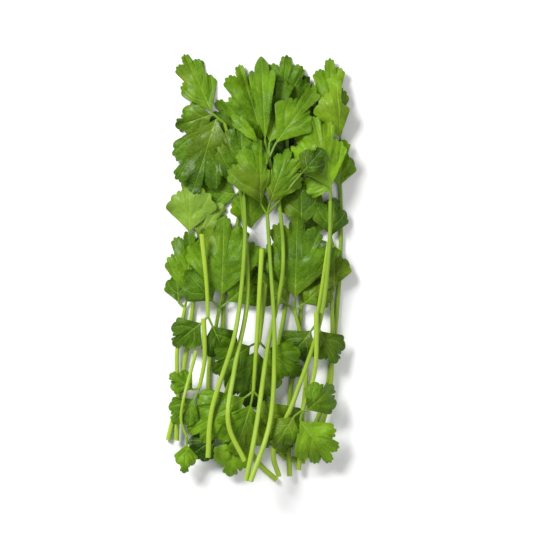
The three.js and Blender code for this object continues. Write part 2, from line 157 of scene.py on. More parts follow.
class Growth:  # gathers the points and faces of one sprig
    sharpEdge = 55  # degrees, from here on an edge isn't shaded smooth

    def __init__(self):
        self.points = []
        self.flats = []
        self.data = []
        self.faces = []
        self.slots = []
        self.sheets = []

    def point(self, spot, flat, tone, share=0.0, under=0.0):
        middle = heapShape["middle"]
        self.points.append(((spot.x - middle[0]) * mm, (spot.y - middle[1]) * mm, max(0, spot.z) * mm))
        self.flats.append((flat[0] / mapScale, flat[1] / mapScale))
        self.data.append((tone, share, under, 1.0))
        return len(self.points) - 1

    def face(self, corners, slot):
        self.faces.append(corners)
        self.slots.append(slot)

    def finish(self, name, materials):
        mesh = bpy.data.meshes.new(name)
        mesh.from_pydata(self.points, [], self.faces)
        for material in materials:
            mesh.materials.append(material)
        mesh.polygons.foreach_set("material_index", self.slots)
        flatMap = mesh.uv_layers.new(name="growthPlan")
        for loop in mesh.loops:
            flatMap.data[loop.index].uv = self.flats[loop.vertex_index]
        tint = mesh.color_attributes.new(name="growthData", type="FLOAT_COLOR", domain="POINT")
        for k, value in enumerate(self.data):
            tint.data[k].color = value
        piece = bpy.data.objects.new(name, mesh)
        bpy.context.collection.objects.link(piece)
        bpy.ops.object.select_all(action="DESELECT")
        piece.select_set(True)
        bpy.context.view_layer.objects.active = piece
        bpy.ops.object.shade_smooth_by_angle(angle=math.radians(self.sharpEdge))
        return piece


stalkShape = {
    "cutRadius": 1.2,
    "topRadius": 0.85,
    "sideRadius": 0.6,
    "sideTaper": 0.75,
    "sides": 12,
    "step": 2.0,
    "curveStep": 0.4,
    "rootOverlap": 1.5,
    "sink": 0.5,  # of its radius, how far a side stalk's end lies below the leaflet's foot
    "groove": 0.16,  # of the radius, along the upper side
    "grooveWidth": 0.45,  # radians
    "solidRadius": 0.87,  # of the radius, in the solid
    "thinnestLayer": 0.9,  # a layer of the solid thinner than this is a blade
    "nearLayer": 1.2,  # a layer within this height of the last one is the same stalk
    "nearGrowth": 0.4,  # and this much more for every step without one
    "smoothRounds": 8,
    "mainTone": 0.5,
    "sideTone": 1,
}


def smoothRoute(corners):  # a centripetal curve through the corners
    points = [Vector(c).to_3d() for c in corners]
    points = [points[0] * 2 - points[1]] + points + [points[-1] * 2 - points[-2]]
    route = []
    for a, b, c, d in zip(points, points[1:], points[2:], points[3:]):
        ab, bc, cd = [math.sqrt((q - p).length) for p, q in ((a, b), (b, c), (c, d))]
        leave = ((b - a) / ab - (c - a) / (ab + bc) + (c - b) / bc) * bc
        reach = ((c - b) / bc - (d - b) / (bc + cd) + (d - c) / cd) * bc
        bend = (b - c) * 2 + leave + reach
        pull = (c - b) * 3 - leave * 2 - reach
        count = max(4, round((c - b).length / stalkShape["curveStep"]))
        route += [bend * (k / count) ** 3 + pull * (k / count) ** 2 + leave * (k / count) + b
                  for k in range(count)]
    return route + [points[-2]]


def evenly(route, step):  # the same route with its points an equal step apart
    lengths = [0.0]
    for p, q in zip(route, route[1:]):
        lengths.append(lengths[-1] + (q - p).length)
    count = max(3, round(lengths[-1] / step))
    spaced = []
    at = 0
    for k in range(count + 1):
        target = lengths[-1] * k / count
        while at + 2 < len(lengths) and lengths[at + 1] < target:
            at += 1
        part = (target - lengths[at]) / max(1e-9, lengths[at + 1] - lengths[at])
        spaced.append(route[at].lerp(route[at + 1], min(1, part)))
    return spaced


def tapered(first, last, count):
    return [mixed(first, last, k / (count - 1)) for k in range(count)]


def smoothed(values, rounds):  # evens out a list between its ends
    for _ in range(rounds):
        inner = [(a + 2 * b + c) / 4 for a, b, c in zip(values, values[1:], values[2:])]
        values = values[:1] + inner + values[-1:]
    return values


def restStalk(solid, route, radii, startHeight=None):  # lifts a plan route to where the solid stalk runs
    heights = []
    expected = startHeight
    missed = 0
    for k, (point, radius) in enumerate(zip(route, radii)):
        solidRadius = stalkShape["solidRadius"] * radius
        layers = [(abs(top - bottom - 2 * solidRadius), bottom + solidRadius)
                  for top, bottom in solid.layersAt(point) if top - bottom > stalkShape["thinnestLayer"]]
        if layers and expected is None and k:
            expected = min(layers)[1]
        if layers and expected is not None:
            nearest = min((centre for _, centre in layers), key=lambda z: abs(z - expected))
            if abs(nearest - expected) < stalkShape["nearLayer"] + stalkShape["nearGrowth"] * missed:
                expected = nearest
                missed = 0
            else:
                missed += 1
        heights.append(expected)
    known = [h for h in heights if h is not None]
    heights = [known[0]] * (len(heights) - len(known)) + known
    if startHeight is None:
        heights[0] = 2 * heights[1] - heights[2]
    heights = smoothed(heights, stalkShape["smoothRounds"])
    centres = np.array([(p.x, p.y, h) for p, h in zip(route, heights)])
    centres[:, 2] += heap.lift(centres, np.array(radii), blurLine)
    return [Vector(c) for c in centres]


def addStalk(growth, centres, radii, cut):  # round, with a shallow groove along its upper side
    sides = stalkShape["sides"]
    tone = stalkShape["mainTone"] if cut else stalkShape["sideTone"]
    rings = []
    along = 0
    for k, (centre, radius) in enumerate(zip(centres, radii)):
        behind = centres[max(k - 1, 0)]
        ahead = centres[min(k + 1, len(centres) - 1)] - behind
        along += (centre - behind).length
        side = ahead.cross(Vector((0, 0, 1))).normalized()
        over = side.cross(ahead).normalized()
        ring = []
        for s in range(sides):
            turn = 2 * math.pi * s / sides
            groove = math.exp(-((turn - math.pi / 2) / stalkShape["grooveWidth"]) ** 2)
            reach = radius * (1 - stalkShape["groove"] * groove)
            spot = centre + side * (reach * math.cos(turn)) + over * (reach * math.sin(turn))
            ring.append(growth.point(spot, (mapScale * s / sides, along), tone, k / len(centres)))
        rings.append(ring)
    for low, high in zip(rings, rings[1:]):
        for s in range(sides):
            t = (s + 1) % sides
            growth.face((low[s], high[s], high[t], low[t]), stalkSlot)
    start = growth.point(centres[0], (0, 0), tone)
    end = growth.point(centres[-1], (0, along), tone, 1)
    for s in range(sides):
        t = (s + 1) % sides
        growth.face((start, rings[0][s], rings[0][t]), cutSlot if cut else stalkSlot)
        growth.face((end, rings[-1][t], rings[-1][s]), stalkSlot)
    tops = np.array(centres) + np.array([(0, 0, radius) for radius in radii])
    growth.sheets.append(np.array([tops, tops]))


leafShape = {
    "largeLeaflet": 24,  # from this length on a lobe has five teeth
    "rayStart": 0.42,  # how far up the midrib the rays start, in parts of the leaflet's length
    "rayPower": 1.3,
    "broadSpread": 44,  # degrees from the midrib to the shoulder
    "slimSpread": 14,
    "broadDrop": 0.34,  # how much shorter the lobes get towards the shoulder
    "slimDrop": 0.75,
    "dropPower": 1.4,
    "broadBay": 0.3,  # how deep the bays between the lobes are
    "slimBay": 0.14,
    "bayFoot": 0.6,
    "shoulderReach": 0.38,
    "lobeBulge": 0.3,
    "bulgePower": 1.5,  # how much less the more lobes there are
    "plainBulge": 0.13,  # of a leaflet without side lobes
    "toothDepth": 0.2,
    "toothRound": 0.6,
    "lobeVariety": 0.04,
    "seedStep": 31,  # from one sprig's leaflets to the next one's
    "varietyTurn": (2.3, 1.9),  # radians a seed and a lobe
    "largeRings": (0.4, 0.74),  # where the solid has corners, from the midrib out
    "smallRings": (0.6,),
    "fiveToothStops": (0.2, 0.4, 0.6, 0.8),  # and along half a lobe's margin
    "threeToothStops": (0.33, 0.52, 0.8),
    "thickness": 0.36,
    "raysPerHalfLobe": 24,
    "rings": 16,
    "ringPower": 0.85,  # below 1 the rings are closer together near the rim
    "sheetPower": 4,
    "sheetEase": 0.02,  # how stiffly the blade evens out the solid's folds
    "footReach": 0.03,  # the blade is held to the solid within this part of its length
    "footWeight": 6,
    "footEase": 3,  # and is free of the stalk from a third of its length on
    "branchReach": 0.62,  # how far up the midrib the branching veins start
    "branchCrowd": 0.3,
    "branchBend": 0.45,
    "branchLean": 0.2,
    "branchArch": 0.12,
    "grooveDepth": 0.13,  # of the veins
    "grooveWidth": 0.6,
    "grooveFade": 0.7,
    "puff": 0.4,  # between the veins
    "puffWidth": 2.5,
    "puffPower": 0.7,
    "swell": 2.8,
    "swellSize": 10,
    "swellStart": 0.35,
    "pucker": 0.45,
    "puckerSize": 2.6,
    "puckerStart": 1.2,  # away from a vein
    "marginWave": 1.8,
    "waveTurn": 1.7,
    "marginPower": 4,  # how close to the margin its wave stays
    "curl": 1.0,
    "curlSpread": (1.5, -0.6),
    "fold": (-0.02, 0.1),  # how far the halves rise beside the midrib, per mm
    "drift": 90,
}


def polar(degrees, reach):
    return Vector((math.cos(math.radians(degrees)), math.sin(math.radians(degrees)))) * reach


# tips of a side's lobes from the leaflet's own tip down, and the foot below each
def sideLobes(spread, lobes, seed):
    span = leafShape["broadSpread"] - leafShape["slimSpread"]
    slim = between(0, 1, (leafShape["broadSpread"] - spread) / span)
    drop = mixed(leafShape["broadDrop"], leafShape["slimDrop"], slim)
    bay = mixed(leafShape["broadBay"], leafShape["slimBay"], slim)
    bySeed, byLobe = leafShape["varietyTurn"]
    tips = [Vector((1, 0))]
    feet = []
    for k in range(1, lobes + 1):
        out = k / (lobes + 0.5)
        variety = 1 + leafShape["lobeVariety"] * math.sin(seed * bySeed + k * byLobe)
        tips.append(polar(spread * out, (1 - drop * out ** leafShape["dropPower"]) * variety))
        middle = tips[k - 1].lerp(tips[k], 0.5)
        feet.append(middle.lerp(Vector((leafShape["bayFoot"] * middle.x, 0)), bay))
    feet.append(polar(spread, leafShape["shoulderReach"] * tips[lobes].length))
    return tips, feet


def lobeEdge(tip, centre, foot, bulge, teeth, t):  # t is 0 at the lobe's tip and 1 at its foot
    axis = (tip - centre).normalized()
    height = (tip - foot).dot(axis)
    across = foot - tip + axis * height
    width = across.length
    out = width * math.sin(t * math.pi / 2) + bulge * height * math.sin(t * math.pi) ** 2
    edge = tip - axis * (height * (1 - math.cos(t * math.pi / 2))) + across * (out / width)
    notch = 0
    if t < 1 - 1 / teeth:
        notch = 1 - abs(math.cos(teeth * t * math.pi / 2)) ** leafShape["toothRound"]
    return edge.lerp(centre, leafShape["toothDepth"] * notch)


def leafletPlan(length, spreadRight, spreadLeft, lobes, seed):
    large = length > leafShape["largeLeaflet"]
    toothed = large and lobes
    bulge = leafShape["lobeBulge"] / lobes ** leafShape["bulgePower"] if lobes else leafShape["plainBulge"]
    return {
        "halves": 2 * lobes + 1,
        "teeth": 5 if toothed else 3,
        "rings": leafShape["largeRings"] if large else leafShape["smallRings"],
        "stops": leafShape["fiveToothStops"] if toothed else leafShape["threeToothStops"],
        "bulge": bulge,
        "sides": (sideLobes(spreadRight, lobes, seed * 2 - 1), sideLobes(spreadLeft, lobes, seed * 2 + 1)),
    }


# a ray's start on the midrib and its end on the margin: place is 0 at the leaflet's tip, and minus or plus
# the number of half lobes at a shoulder
def rayAt(plan, place):
    halves = plan["halves"]
    tips, feet = plan["sides"][int(place > 0)]
    step = min(halves - 1, int(abs(place)))
    within = abs(place) - step
    lobe = (step + 1) // 2
    falling = step % 2 == 0
    foot = feet[lobe] if falling else feet[lobe - 1]
    centre = feet[lobe - 1].lerp(feet[lobe], 0.5) if lobe else Vector((foot.x, 0))
    t = within if falling else 1 - within
    end = lobeEdge(tips[lobe], centre, foot, plan["bulge"], plan["teeth"], t)
    end.y = math.copysign(end.y, place)
    part = min(halves - abs(place), halves - 1) / halves
    return Vector((leafShape["rayStart"] * part ** leafShape["rayPower"], 0)), end


def veinsOf(plan, side):  # the midrib's arched branches, one to each lobe of a side
    tips = plan["sides"][side][0]
    across = (-1, 1)[side]
    branches = []
    for k, tip in enumerate(tips[1:], 1):
        start = Vector((leafShape["branchReach"] * (1 - k / (len(tips) - leafShape["branchCrowd"])), 0))
        end = Vector((tip.x, across * tip.y))
        arch = Vector((-leafShape["branchLean"], across)) * (leafShape["branchArch"] * (end - start).length)
        branches.append((start, start.lerp(end, leafShape["branchBend"]) + arch, end))
    return branches


def nearestVein(spot, branches):  # (distance from it, distance along it), parts of the leaflet's length
    best = (abs(spot.y), spot.x)
    for branch in branches:
        passed = 0
        for start, end in zip(branch, branch[1:]):
            line = end - start
            along = between(0, 1, (spot - start).dot(line) / line.length_squared)
            away = (spot - start - line * along).length
            if away < best[0]:
                best = (away, passed + along * line.length)
            passed += line.length
    return best


def sheetTerms(x, y):  # the powers of x and y that a blade is a sum of
    powers = range(leafShape["sheetPower"] + 1)
    return np.array([x ** p * y ** q for p in powers for q in powers if p + q <= leafShape["sheetPower"]])


def bladeSheet(solid, plan, inPlan):  # a smooth sheet through the corners of the solid's upper face
    halves = plan["halves"]
    stations = list(range(-halves, halves + 1))
    rimStations = set(stations)
    for step in range(halves):
        for t in plan["stops"]:
            station = step + (t if step % 2 == 0 else 1 - t)
            rimStations |= {station, -station}
    rows = []
    tops = []
    for share in (0, *plan["rings"], 1):
        for station in sorted(rimStations) if share == 1 else stations:
            start, end = rayAt(plan, station)
            spot = start.lerp(end, share)
            top = solid.cornerAt(inPlan(spot))
            if not math.isnan(top):
                weight = leafShape["footWeight"] if spot.length < leafShape["footReach"] else 1
                rows.append(sheetTerms(spot.x, spot.y) * weight)
                tops.append(top * weight)
    rows = np.array(rows)
    tops = np.array(tops)
    ease = np.eye(rows.shape[1]) * leafShape["sheetEase"]
    ease[0, 0] = 0
    return np.linalg.solve(rows.T @ rows + ease, rows.T @ tops)


# the upper side of a leaflet, ray by ray from its right shoulder round to its left one, and for each
# point its place among the veins and how far out it lies
def bladePoints(solid, plan, places, length, inPlan, dice):
    shape = leafShape
    shares = np.linspace(0, 1, shape["rings"] + 1) ** shape["ringPower"]
    sheet = bladeSheet(solid, plan, inPlan)
    drift = Vector([dice.random() * shape["drift"] for _ in range(3)])
    curlSpan, curlLow = shape["curlSpread"]
    curl = shape["curl"] * (dice.random() * curlSpan + curlLow)
    fold = dice.uniform(*shape["fold"])
    veins = (veinsOf(plan, 0), veinsOf(plan, 1))
    points = np.zeros((len(places), len(shares), 3))
    growing = []
    for i, place in enumerate(places):
        start, end = rayAt(plan, place)
        row = []
        for j, share in enumerate(shares):
            spot = start.lerp(end, share)
            away, along = [part * length for part in nearestVein(spot, veins[int(place > 0)])]
            reach = spot.length
            free = min(1, reach * shape["footEase"])
            here = Vector((spot.x * length, spot.y * length, 0))
            swell = noise.noise(here / shape["swellSize"] + drift) * shape["swell"]
            pucker = noise.noise(here / shape["puckerSize"] + drift * 2) * shape["pucker"]
            puff = min(1, away / shape["puffWidth"]) ** shape["puffPower"] * shape["puff"]
            ripple = noise.noise(Vector((place * shape["waveTurn"], share, 0)) + drift)
            margin = ripple * shape["marginWave"] + curl * share
            nearMargin = share ** shape["marginPower"]
            groove = math.exp(-(away / shape["grooveWidth"]) ** 2) * shape["grooveDepth"]
            height = sheetTerms(spot.x, spot.y) @ sheet
            height += swell * (shape["swellStart"] + share) * free
            height += pucker * min(1, away / shape["puckerStart"]) * free
            height += puff * (1 - nearMargin) + margin * nearMargin
            height += fold * abs(here.y) * free - groove * (1 - shape["grooveFade"] * reach)
            plane = inPlan(spot)
            points[i, j] = (plane.x, plane.y, height)
            row.append(((away, along), reach))
        growing.append(row)
    return points, growing


def addLeaflet(growth, solid, leaflet, seed):
    base, tip, spreadRight, spreadLeft, lobes, tone = leaflet
    axis = Vector(tip) - Vector(base)
    forward = axis.normalized()
    leftward = Vector((-forward.y, forward.x))

    def inPlan(spot):
        return Vector(base) + (forward * spot.x + leftward * spot.y) * axis.length

    plan = leafletPlan(axis.length, spreadRight, spreadLeft, lobes, seed)
    halves = plan["halves"]
    rings = leafShape["rings"]
    thickness = leafShape["thickness"]
    places = np.linspace(-halves, halves, 2 * halves * leafShape["raysPerHalfLobe"] + 1)
    points, growing = bladePoints(solid, plan, places, axis.length, inPlan, random.Random(seed))
    lift = heap.lift(points, thickness, blurSheet)
    lift[:, 0] = (lift[:, 0] + lift[::-1, 0]) / 2  # the midrib is shared by both sides
    points[:, :, 2] = np.maximum(points[:, :, 2] + lift, thickness)
    growth.sheets.append(points)
    upper = []
    lower = []
    for i, place in enumerate(places):
        up = []
        down = []
        for j in range(rings + 1):
            if j == 0 and place > 0:
                up.append(upper[len(places) - 1 - i][0])
                down.append(lower[len(places) - 1 - i][0])
                continue
            spot = Vector(points[i, j])
            vein, reach = growing[i][j]
            up.append(growth.point(spot, vein, tone, reach))
            spot.z -= thickness * (1 if j < rings else 0.5)
            down.append(growth.point(spot, vein, tone, reach, 1))
        upper.append(up)
        lower.append(down)
    for i in range(len(places) - 1):
        for j in range(rings):
            growth.face((upper[i][j], upper[i][j + 1], upper[i + 1][j + 1], upper[i + 1][j]), bladeSlot)
            growth.face((lower[i + 1][j], lower[i + 1][j + 1], lower[i][j + 1], lower[i][j]), bladeSlot)
        rim = (upper[i][rings], lower[i][rings], lower[i + 1][rings], upper[i + 1][rings])
        growth.face(rim, bladeSlot)
    for j in range(rings):
        growth.face((upper[0][j], lower[0][j], lower[0][j + 1], upper[0][j + 1]), bladeSlot)
        growth.face((upper[-1][j + 1], lower[-1][j + 1], lower[-1][j], upper[-1][j]), bladeSlot)
    return points[0, 0, 2]


class Signal:  # a shader socket that can be used in sums
    def __init__(self, tree, socket):
        self.tree = tree
        self.socket = socket

    def maths(self, operation, *others, flipped=False):
        node = self.tree.nodes.new("ShaderNodeMath")
        node.operation = operation
        values = [self, *others]
        for k, value in enumerate(values[::-1] if flipped else values):
            if isinstance(value, Signal):
                self.tree.links.new(value.socket, node.inputs[k])
            else:
                node.inputs[k].default_value = value
        return Signal(self.tree, node.outputs[0])

    def __add__(self, other):
        return self.maths("ADD", other)

    def __sub__(self, other):
        return self.maths("SUBTRACT", other)

    def __rsub__(self, other):
        return self.maths("SUBTRACT", other, flipped=True)

    def __mul__(self, other):
        return self.maths("MULTIPLY", other)

    __radd__ = __add__
    __rmul__ = __mul__


class Finish:  # one material and its nodes
    def __init__(self, name):
        self.material = bpy.data.materials.new(name)
        self.material.use_nodes = True
        self.tree = self.material.node_tree
        self.shader = self.tree.nodes["Principled BSDF"]

    def node(self, kind, settings=None, values=None, output=0):
        node = self.tree.nodes.new(kind)
        for key, value in (settings or {}).items():
            if key == "stops":
                ramp = node.color_ramp
                while len(ramp.elements) < len(value):
                    ramp.elements.new(0.5)
                for element, (place, colour) in zip(ramp.elements, value):
                    element.position = place
                    element.color = colour
            else:
                setattr(node, key, value)
        for key, value in (values or {}).items():
            self.feed(node.inputs[key], value)
        return Signal(self.tree, node.outputs[output])

    def feed(self, socket, value):
        if isinstance(value, Signal):
            self.tree.links.new(value.socket, socket)
        else:
            socket.default_value = value

    def part(self, vector, which):
        return self.node("ShaderNodeSeparateXYZ", None, {0: vector}, output=which)

    def step(self, value, low, high):  # 0 below low, 1 above high
        return self.node("ShaderNodeMapRange", {"interpolation_type": "SMOOTHSTEP"},
                         {"Value": value, "From Min": low, "From Max": high})

    def blend(self, share, first, second):
        return self.node("ShaderNodeMix", {"data_type": "RGBA"}, {0: share, 6: first, 7: second}, output=2)

    def ramp(self, value, *colours):
        stops = [(k / (len(colours) - 1), colour) for k, colour in enumerate(colours)]
        return self.node("ShaderNodeValToRGB", {"stops": stops}, {0: value})

    def noise(self, where, scale, detail=2.0):
        return self.node("ShaderNodeTexNoise", None, {"Vector": where, "Scale": scale, "Detail": detail})

    def bump(self, strength, distance, height):
        return self.node("ShaderNodeBump", None,
                         {"Strength": strength, "Distance": distance, "Height": height})

    def place(self):
        return self.node("ShaderNodeTexCoord", output=3)

    def onMap(self):  # the two directions of the growthPlan map
        flat = self.node("ShaderNodeUVMap", {"uv_map": "growthPlan"})
        return self.part(flat, 0), self.part(flat, 1)

    def grown(self, *which):  # 0 tone, 1 distance out, 2 underside, as the points carry them
        data = self.node("ShaderNodeAttribute", {"attribute_name": "growthData"})
        return [self.part(data, k) for k in which]

    def finish(self, values):
        for key, value in values.items():
            self.feed(self.shader.inputs[key], value)
        return self.material


leafLook = {
    # the deep end is the leaves' dark green taken further down as painted shade, for leaflets lying in the
    # heap's shadowed gaps
    "deep": (0.010, 0.040, 0.0004, 1),
    "middle": (0.069, 0.161, 0.0015, 1),
    "bright": (0.160, 0.316, 0.005, 1),
    "pale": (0.215, 0.325, 0.052, 1),
    "vein": (0.270, 0.390, 0.055, 1),
    "olive": (0.135, 0.175, 0.007, 1),
    "broadScale": 75,  # patterns a metre
    "mottleScale": 260,
    "fineScale": 900,
    "oliveScale": 42,
    "netScale": 700.0,
    "glossScale": 95,
    "broadShare": 0.8,  # of a pattern in the tone
    "mottleShare": 0.5,
    "fineShare": 0.35,
    "outerShade": 0.15,  # how much deeper the margin is than the foot
    "outerMiddle": 0.4,  # how far out the tone is as given
    "oliveShare": 0.45,
    "oliveEdge": (0.5, 0.75),
    "palePart": 0.6,  # of the underside
    "turnedTone": (1.0, 1.4),  # of a leaflet that lies turned over
    "turnedPart": 0.45,
    "turnedDepth": 0.75,
    "sideVeinGap": 1.7,  # mm
    "mainVein": 0.75,
    "mainVeinEdge": (0.04, 0.26),  # mm from the vein's middle
    "mainVeinFade": 0.8,  # at the margin
    "sideVein": 0.3,
    "sideVeinEdge": (0.03, 0.24),
    "sideVeinStart": (0.1, 0.5),  # mm from the main vein
    "sideVeinLean": 1.2,  # mm that it runs forward for each mm outwards
    "sideVeinWander": 1.6,  # mm
    "sideVeinFade": (0.7, 0.45),  # its strength at the midrib, and how much less at the margin
    "netVein": 0.1,
    "netEdge": (0.0, 0.12),
    "mostVein": 0.8,
    "roughness": 0.34,
    "mottleRoughness": 0.4,
    "underRoughness": 0.15,
    "specular": 0.12,
    "gloss": 0.14,
    "glossEdge": (0.42, 0.68),
    "glossRoughness": 0.26,
    "bump": (0.8, 0.0005),  # strength and metres
    "veinRelief": (0.2, 0.5, 0.2),  # how deep main, side and net veins are cut in
    "patternRelief": (0.4, 0.5),  # how far the fine pattern and the mottle stand up
}


def leafFinish():
    look = leafLook
    f = Finish("parsleyLeaf")
    here = f.place()
    away, along = [part * mapScale for part in f.onMap()]
    tone, reach, under = f.grown(0, 1, 2)
    broad = f.noise(here, look["broadScale"])
    mottle = f.noise(here, look["mottleScale"], detail=3)
    fine = f.noise(here, look["fineScale"], detail=3)
    mainVein = (1 - f.step(away, *look["mainVeinEdge"])) * (1 - look["mainVeinFade"] * reach)
    branch = along - away * look["sideVeinLean"] + (broad - 0.5) * look["sideVeinWander"]
    branch = branch.maths("PINGPONG", look["sideVeinGap"])
    strength, loss = look["sideVeinFade"]
    sideVein = ((1 - f.step(branch, *look["sideVeinEdge"])) * f.step(away, *look["sideVeinStart"])
                * (strength - loss * reach))
    cells = f.node("ShaderNodeTexVoronoi", {"feature": "DISTANCE_TO_EDGE"},
                   {"Vector": here, "Scale": look["netScale"]})
    net = 1 - f.step(cells, *look["netEdge"])
    turned = f.step(tone, *look["turnedTone"])
    level = (tone - turned * look["turnedDepth"] + (broad - 0.5) * look["broadShare"]
             + (mottle - 0.5) * look["mottleShare"] + (fine - 0.5) * look["fineShare"]
             - (reach - look["outerMiddle"]) * look["outerShade"])
    green = f.ramp(level, look["deep"], look["middle"], look["bright"])
    patches = f.step(f.noise(here, look["oliveScale"]), *look["oliveEdge"]) * look["oliveShare"]
    paleness = (under * look["palePart"] + turned * look["turnedPart"]).maths("MINIMUM", 1.0)
    backed = f.blend(paleness, f.blend(patches, green, look["olive"]), look["pale"])
    veins = mainVein * look["mainVein"] + sideVein * look["sideVein"] + net * look["netVein"]
    gloss = f.step(f.noise(here, look["glossScale"]), *look["glossEdge"]) * (1 - under)
    mainCut, sideCut, netCut = look["veinRelief"]
    fineRise, mottleRise = look["patternRelief"]
    height = ((1 - mainVein) * mainCut - sideVein * sideCut - net * netCut
              + fine * fineRise + mottle * mottleRise)
    return f.finish({
        "Base Color": f.blend(veins.maths("MINIMUM", look["mostVein"]), backed, look["vein"]),
        "Roughness": (look["roughness"] + (mottle - 0.5) * look["mottleRoughness"]
                      + under * look["underRoughness"]),
        "Normal": f.bump(*look["bump"], height),
        "Specular IOR Level": look["specular"],
        "Coat Weight": gloss * look["gloss"],
        "Coat Roughness": look["glossRoughness"],
    })


stalkLook = {
    "green": (0.125, 0.245, 0.008, 1),
    "pale": (0.290, 0.430, 0.026, 1),
    "cut": (0.460, 0.560, 0.200, 1),
    "pith": (0.300, 0.400, 0.080, 1),
    "ribs": 12,
    "patchScale": 90,  # patterns a metre
    "patchShare": 0.8,
    "fineScale": 1400,
    "greening": 0.7,  # towards the leaves
    "greenFrom": (10, 130),  # mm along the stalk
    "sideGreening": 1.7,
    "roughness": 0.36,
    "patchRoughness": 0.15,
    "specular": 0.4,
    "bump": (0.5, 0.0002),  # strength and metres
    "relief": (0.5, 0.4),  # of the ribs and of the fine pattern
    "cutScale": 1700.0,
    "cutEdge": (0.25, 0.45),  # of the pith spots
    "cutRoughness": 0.45,
    "cutFineScale": 2000,
    "cutFineShare": 0.2,
}


def stalkFinish():
    look = stalkLook
    f = Finish("parsleyStalk")
    here = f.place()
    around, along = f.onMap()
    tone, = f.grown(0)
    ribs = (around * (look["ribs"] * 2 * math.pi)).maths("SINE")
    patches = f.noise(here, look["patchScale"])
    low, high = [reach / mapScale for reach in look["greenFrom"]]
    side = (tone - stalkShape["mainTone"]) * look["sideGreening"]
    greening = f.step(along, low, high) * look["greening"] + side + (patches - 0.5) * look["patchShare"]
    ribRise, fineRise = look["relief"]
    return f.finish({
        "Base Color": f.blend(greening.maths("MAXIMUM", 0.0), look["pale"], look["green"]),
        "Roughness": look["roughness"] + (patches - 0.5) * look["patchRoughness"],
        "Normal": f.bump(*look["bump"], ribs * ribRise + f.noise(here, look["fineScale"]) * fineRise),
        "Specular IOR Level": look["specular"],
    })


def cutFinish():
    look = stalkLook
    f = Finish("parsleyCut")
    here = f.place()
    spots = f.node("ShaderNodeTexVoronoi", None, {"Vector": here, "Scale": look["cutScale"]})
    return f.finish({
        "Base Color": f.blend(f.step(spots, *look["cutEdge"]), look["pith"], look["cut"]),
        "Roughness": look["cutRoughness"] + f.noise(here, look["cutFineScale"]) * look["cutFineShare"],
    })


finishes = [leafFinish(), stalkFinish(), cutFinish()]  # in the order of the slots
print("finishes ready")
